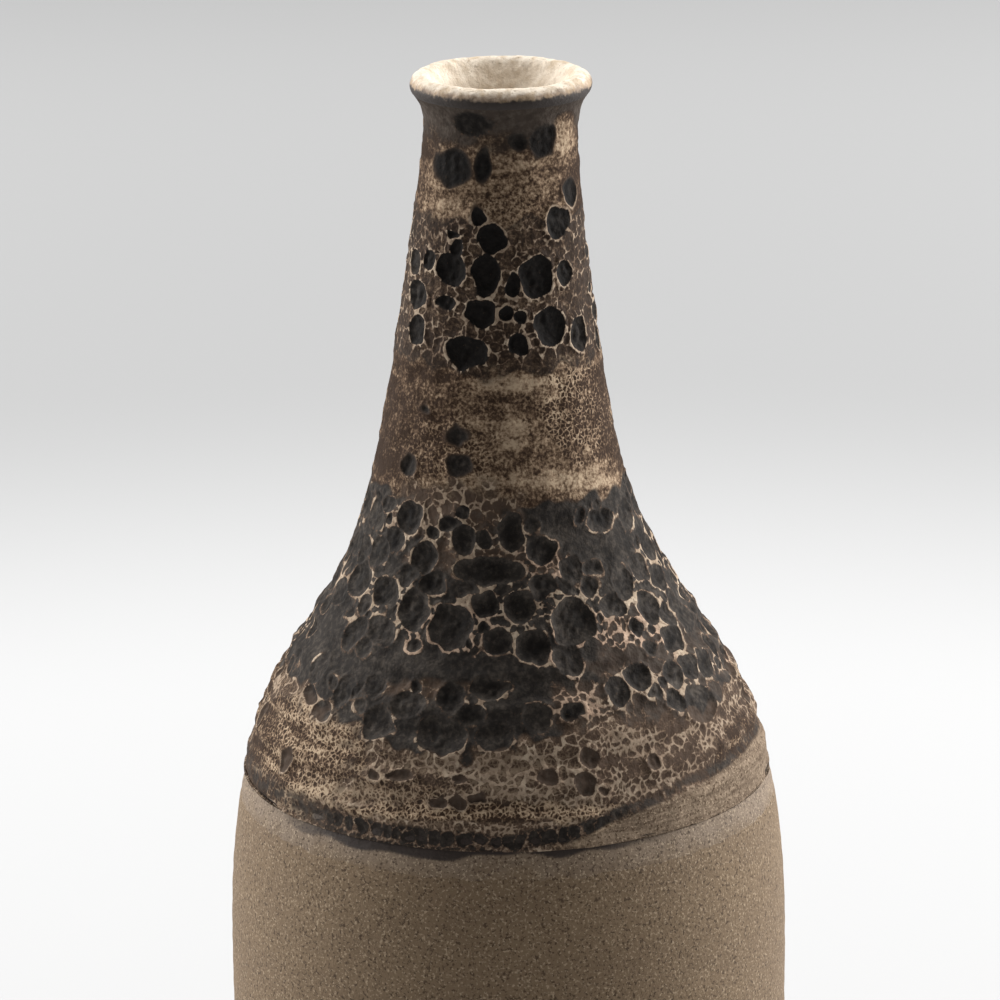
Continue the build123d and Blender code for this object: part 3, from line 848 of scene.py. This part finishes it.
class Finish:
    """A node material, built up by short calls."""

    def __init__(self, name, specular=0.35):
        self.material = bpy.data.materials.new(name)
        self.material.use_nodes = True
        self.tree = self.material.node_tree
        self.shader = self.tree.nodes["Principled BSDF"]
        self.shader.inputs["Specular IOR Level"].default_value = specular
        self.place = self.node("ShaderNodeTexCoord").outputs["Object"]

    def node(self, kind, inputs=None, **settings):
        """A new node with its settings, and with constants or other sockets at its inputs."""
        made = self.tree.nodes.new(kind)
        for name, value in settings.items():
            setattr(made, name, value)
        for socket, value in (inputs or {}).items():
            self.put(made.inputs[socket], value)
        return made

    def put(self, socket, value):
        """Sets a socket to a constant, or joins it to another socket."""
        if isinstance(value, bpy.types.NodeSocket):
            self.tree.links.new(value, socket)
        else:
            socket.default_value = value

    def stored(self, name):
        """A value that is stored at the mesh's corners."""
        return self.node("ShaderNodeAttribute", attribute_name=name).outputs["Fac"]

    def noise(self, size, detail=3.0, stretch=None):
        """Noise with features of about a size in mm, stretched along some axes if wanted."""
        place = self.place
        if stretch:
            place = self.node("ShaderNodeMapping", {"Scale": stretch, "Vector": place}).outputs["Vector"]
        inputs = {"Scale": 1000 / size, "Detail": detail, "Roughness": 0.6, "Vector": place}
        return self.node("ShaderNodeTexNoise", inputs).outputs["Fac"]

    def net(self, size, thick):
        """1 on the veins of a net with meshes of about a size in mm, 0 inside them."""
        sway = self.node("ShaderNodeTexNoise", {"Scale": 1000 / size, "Vector": self.place}).outputs["Color"]
        bend = {0: sway, 1: (size * MM, size * MM, size * MM), 2: self.place}
        bent = self.node("ShaderNodeVectorMath", bend, operation="MULTIPLY_ADD").outputs["Vector"]
        inputs = {"Scale": 1000 / size, "Vector": bent}
        made = self.node("ShaderNodeTexVoronoi", inputs, feature="DISTANCE_TO_EDGE")
        return self.reach(made.outputs["Distance"], thick / 4, thick, 1, 0)

    def ramp(self, factor, *stops):
        """A colour by a factor, between stops of a place and a colour as seen on screen."""
        made = self.node("ShaderNodeValToRGB", {"Fac": factor})
        line = made.color_ramp
        while len(line.elements) < len(stops):
            line.elements.new(0.5)
        for element, (position, *shade) in zip(line.elements, stops):
            element.position = position
            element.color = colour(*shade)
        return made.outputs["Color"]

    def mix(self, factor, first, second):
        """The first colour at factor 0, the second at 1."""
        inputs = {0: factor, 6: first, 7: second}
        return self.node("ShaderNodeMix", inputs, data_type="RGBA", blend_type="MIX").outputs[2]

    def reach(self, value, low, high, first=0.0, last=1.0):
        """A value eased from first at low to last at high."""
        inputs = {"Value": value, "From Min": low, "From Max": high, "To Min": first, "To Max": last}
        return self.node("ShaderNodeMapRange", inputs, interpolation_type="SMOOTHSTEP").outputs["Result"]

    def tint(self, base, shade, value, low, high, most=1.0):
        """A colour with a shade over it, which grows to its most as a value goes from low to high."""
        return self.mix(self.reach(value, low, high, 0, most), base, colour(*shade))

    def sum(self, first, second, factor):
        """first plus second times factor."""
        inputs = {0: second, 1: factor, 2: first}
        return self.node("ShaderNodeMath", inputs, operation="MULTIPLY_ADD").outputs[0]

    def bump(self, height, deep):
        """Fine grain in mm on top of the mesh's own relief."""
        made = self.node("ShaderNodeBump", {"Distance": deep * MM, "Height": height})
        self.put(self.shader.inputs["Normal"], made.outputs["Normal"])

    def done(self, base, roughness):
        """The material, with its colour and roughness."""
        self.put(self.shader.inputs["Base Color"], base)
        self.put(self.shader.inputs["Roughness"], roughness)
        return self.material


def vein_colour(finish):
    """Pale veins, pinkish or dim in places, with fine brown breaks."""
    vein = finish.ramp(finish.noise(4), (0.3, 144, 126, 107), (0.5, 166, 148, 128), (0.7, 190, 173, 152))
    vein = finish.tint(vein, (196, 162, 140), finish.stored("pink"), 0, 1, 0.5)
    vein = finish.tint(vein, (112, 94, 78), finish.stored("dim"), 0, 1, 0.4)
    return finish.tint(vein, (112, 93, 79), finish.noise(0.8, 3), 0.46, 0.64, 0.6)


def dark_colour(finish):
    """Charcoal or brown glaze with a soft mottle."""
    tone = finish.stored("tone")
    dark = finish.ramp(tone, (0.0, 27, 25, 24), (0.45, 50, 46, 43), (1.0, 84, 78, 72))
    dark = finish.tint(dark, (83, 68, 57), finish.stored("warm"), 0, 1, 0.85)
    mottled = finish.sum(0.08, tone, 1.0)
    mottled = finish.sum(0.0, finish.reach(finish.noise(1.1, 4), 0.42, 0.72), mottled)
    dark = finish.mix(mottled, dark, colour(92, 84, 76))
    return finish.tint(dark, (34, 30, 28), finish.noise(1.7, 4), 0.5, 0.72, 0.32)


def fine_colour(finish):
    """The finely speckled coat, from brown to cream."""
    mottle = finish.sum(finish.stored("level"), finish.noise(0.62, 2), 1.2)
    mottle = finish.sum(mottle, finish.net(0.95, 0.22), finish.stored("net"))
    mottle = finish.sum(mottle, finish.noise(1.5, 3), 0.8)
    mottle = finish.sum(mottle, finish.noise(4.0, 3, (1, 1, 5)), 0.3)
    return finish.ramp(finish.reach(mottle, 1.0, 2.3), (0.2, 54, 41, 32), (0.42, 90, 72, 57),
                       (0.62, 134, 113, 92), (0.92, 178, 157, 132))


def streaky_colour(finish):
    """The thin, streaky glaze under the dark band."""
    streaks = finish.noise(3.0, 4, (0.35, 0.35, 4))
    plain = finish.ramp(streaks, (0.38, 100, 85, 71), (0.5, 117, 101, 85), (0.64, 136, 119, 101))
    return speckled(finish, plain, (78, 63, 50), (156, 138, 117))


def crater_finish():
    """Charcoal and brown cells in a pale net, and soft mottling where the coat is finely speckled."""
    finish = Finish("crater_glaze", 0.06)
    grain = finish.noise(0.6, 2)
    pale = finish.sum(finish.stored("pale"), grain, 1.2)
    base = finish.tint(dark_colour(finish), (94, 76, 63), pale, 0.75, 1.15)
    base = finish.mix(finish.reach(pale, 1.0, 1.42), base, vein_colour(finish))
    base = finish.mix(finish.stored("speckle"), base, fine_colour(finish))
    base = finish.mix(finish.stored("thin"), base, streaky_colour(finish))
    finish.bump(grain, 0.16)
    return finish.done(base, finish.reach(pale, 0.6, 1.2, 0.8, 0.9))


def speckled(finish, plain, speck_dark, speck_pale):
    """Grit in a clay colour: dark and pale specks of a fraction of a millimetre."""
    base = finish.tint(plain, speck_dark, finish.noise(0.6, 2), 0.52, 0.66)
    return finish.tint(base, speck_pale, finish.noise(0.5, 2), 0.54, 0.68)


# Stops of the bare clay's colour
CLAY_STOPS = ((0.3, 111, 92, 71), (0.7, 120, 101, 79))


def clay_finish(name):
    """Bare toasted stoneware."""
    finish = Finish(name)
    broad = finish.noise(26, 3, (1, 1, 2.2))
    base = speckled(finish, finish.ramp(broad, *CLAY_STOPS), (74, 58, 43), (156, 137, 113))
    finish.bump(finish.noise(0.7, 3), 0.14)
    return finish.done(base, finish.reach(broad, 0.3, 0.7, 0.85, 0.92))


def wash_finish():
    """A thin greyer coat over the clay."""
    finish = Finish("base_glaze")
    broad = finish.noise(18, 3, (1, 1, 3))
    plain = finish.ramp(broad, (0.3, 114, 97, 80), (0.7, 130, 113, 95))
    plain = finish.mix(finish.stored("cover"), finish.ramp(broad, *CLAY_STOPS), plain)
    base = speckled(finish, plain, (78, 62, 48), (160, 142, 119))
    # Painted shade just under the crater glaze's lower edge
    base = finish.tint(base, (38, 29, 26), finish.stored("painted_edge_shade"), 0, 1, 0.95)
    finish.bump(finish.noise(0.8, 3), 0.12)
    return finish.done(base, finish.reach(broad, 0.3, 0.7, 0.7, 0.8))


def lip_finish():
    """Cream rim with tan mottling, browner where it runs thin over the edge."""
    finish = Finish("lip_glaze")
    streaks = finish.noise(1.6, 4, (1, 1, 0.3))
    cream = finish.ramp(streaks, (0.32, 203, 187, 166), (0.62, 225, 213, 196))
    thin = finish.ramp(streaks, (0.35, 118, 100, 84), (0.6, 176, 156, 136))
    place = finish.sum(finish.stored("place"), finish.noise(1.4, 3), 0.14)
    base = finish.mix(finish.reach(place, 0.25, 0.34, 1, 0), cream, thin)
    rolled = finish.reach(place, 0.5, 0.66, 0.5, 0.12)
    toasted = finish.sum(0.0, finish.reach(finish.noise(2.6, 4), 0.46, 0.64), rolled)
    base = finish.mix(toasted, base, colour(166, 140, 104))
    specks = finish.sum(0.0, finish.reach(finish.noise(0.6, 3), 0.55, 0.68), rolled)
    base = finish.mix(specks, base, colour(128, 105, 80))
    base = finish.mix(finish.reach(place, 0.2, 0.25, 1, 0), base, colour(54, 47, 43))
    finish.bump(finish.noise(0.7, 3), 0.16)
    return finish.done(base, finish.reach(streaks, 0.3, 0.7, 0.7, 0.8))


def liner_finish():
    """Thin tan glaze inside the neck and body."""
    finish = Finish("liner_glaze")
    streaks = finish.noise(4, 4, (1, 1, 0.2))
    base = finish.ramp(streaks, (0.3, 120, 98, 74), (0.7, 168, 146, 116))
    return finish.done(base, finish.reach(streaks, 0.3, 0.7, 0.4, 0.55))


def dress():
    """Every CAD node gets its piece or its finish."""
    clay = clay_finish("bare_clay")
    slip = clay_finish("joining_slip")
    liner = liner_finish()
    piece_from(body_mesh(), clay, "lower_body")
    piece_from(wash_mesh(), wash_finish(), "base_glaze")
    piece_from(crater_mesh(), crater_finish(), "crater_glaze")
    piece_from(lip_mesh(), lip_finish(), "lip_glaze")
    hidden = (("shoulder", clay, "bare_clay"), ("neck", clay, "bare_clay"),
              ("neck_seam_slip", slip, "joining_slip"), ("liner_glaze", liner, "liner_glaze"))
    for node, material, slot in hidden:
        piece_from(leaning_copy(node), material, node)
    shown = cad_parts["body_seam_slip"]
    shown.data.materials.clear()
    shown.data.materials.append(slip)


# Table under the vase: its reach, its opening and the distances at which its colours change, in m
TABLE_REACH = 1.7
TABLE_OPENING = 0.0448
TABLE_SIDES = 96
WHITE_UNTIL = 0.42
GREY_FROM = 0.78
FAR_FROM = 1.35
TABLE_WHITE = colour(183, 183, 183)
TABLE_GREY = colour(155, 155, 155)
FAR_GREY = colour(163, 163, 163)
ROOM_GREY = colour(209, 209, 209)


def table_finish():
    """White round the vase and greyer farther off. From below it is clear."""
    finish = Finish("table", 0)
    distance = finish.node("ShaderNodeVectorMath", {0: finish.place}, operation="LENGTH").outputs["Value"]
    base = finish.mix(finish.reach(distance, WHITE_UNTIL, GREY_FROM), TABLE_WHITE, TABLE_GREY)
    base = finish.mix(finish.reach(distance, GREY_FROM, FAR_FROM), base, FAR_GREY)
    below = finish.node("ShaderNodeNewGeometry").outputs["Backfacing"]
    clear = finish.node("ShaderNodeBsdfTransparent").outputs[0]
    either = finish.node("ShaderNodeMixShader", {0: below, 1: finish.shader.outputs[0], 2: clear})
    finish.put(finish.tree.nodes["Material Output"].inputs["Surface"], either.outputs[0])
    return finish.done(base, 0.9)


def table():
    """A wide pale table, open under the foot so that light reaches the underside there."""
    mesh = bpy.data.meshes.new("table")
    turns = full_turn(TABLE_SIDES)
    ring = np.column_stack([np.cos(turns), np.sin(turns), np.zeros(TABLE_SIDES)])
    inner = np.arange(TABLE_SIDES)
    outer = inner + TABLE_SIDES
    faces = np.column_stack([inner, outer, np.roll(outer, -1), np.roll(inner, -1)])
    mesh.from_pydata(np.vstack([ring * TABLE_OPENING, ring * TABLE_REACH]).tolist(), [], faces.tolist())
    top = new_object("table", mesh)
    mesh.materials.append(table_finish())


# Soft lamps: where they stand and their side in m, and their power in W. All aim at one place
LAMPS = (
    ("left", (-1.98, 0.72, 0.9), 1.4, 78.0),
    ("right", (1.98, 0.72, 0.9), 1.4, 96.0),
    ("top", (0.0, 0.6, 2.2), 0.8, 28.0),
)
LAMP_AIM = (0, 0, 0.15)
WORLD_LIGHT = 0.22


def lamps():
    """Soft boxes at both sides and above."""
    for name, spot, side, power in LAMPS:
        lamp = bpy.data.lights.new(name, "AREA")
        lamp.shape = "SQUARE"
        lamp.size = side
        lamp.energy = power
        holder = new_object("lamp_" + name, lamp)
        away = Vector(spot) - Vector(LAMP_AIM)
        holder.matrix_world = Matrix.Translation(spot) @ away.to_track_quat("Z", "Y").to_matrix().to_4x4()


def room():
    """Even white light from all round, behind a grey that only the camera sees."""
    world = bpy.data.worlds.new("room")
    world.use_nodes = True
    bpy.context.scene.world = world
    tree = world.node_tree
    light = tree.nodes["Background"]
    light.inputs["Color"].default_value = (1, 1, 1, 1)
    light.inputs["Strength"].default_value = WORLD_LIGHT
    seen = tree.nodes.new("ShaderNodeBackground")
    seen.inputs["Color"].default_value = ROOM_GREY
    seen.inputs["Strength"].default_value = 1
    path = tree.nodes.new("ShaderNodeLightPath")
    either = tree.nodes.new("ShaderNodeMixShader")
    tree.links.new(path.outputs["Is Camera Ray"], either.inputs[0])
    tree.links.new(light.outputs[0], either.inputs[1])
    tree.links.new(seen.outputs[0], either.inputs[2])
    tree.links.new(either.outputs[0], tree.nodes["World Output"].inputs["Surface"])


def camera():
    """The photograph's camera."""
    lens = bpy.data.cameras.new("camera")
    lens.sensor_width = SENSOR_WIDTH
    lens.lens = FOCAL_PIXELS / PICTURE_SIDE * SENSOR_WIDTH
    lens.clip_end = CAMERA_REACH
    holder = new_object("camera", lens)
    spot = Matrix.Translation((CAMERA_ASIDE * MM, -CAMERA_DISTANCE * MM, CAMERA_HEIGHT * MM))
    tilt = Matrix.Rotation(radians(90 - CAMERA_PITCH), 4, "X")
    turn = Matrix.Rotation(radians(-CAMERA_ROLL), 4, "Z")
    holder.matrix_world = spot @ tilt @ turn
    bpy.context.scene.camera = holder


bpy.context.scene.view_settings.view_transform = "Standard"
dress()
table()
lamps()
room()
camera()
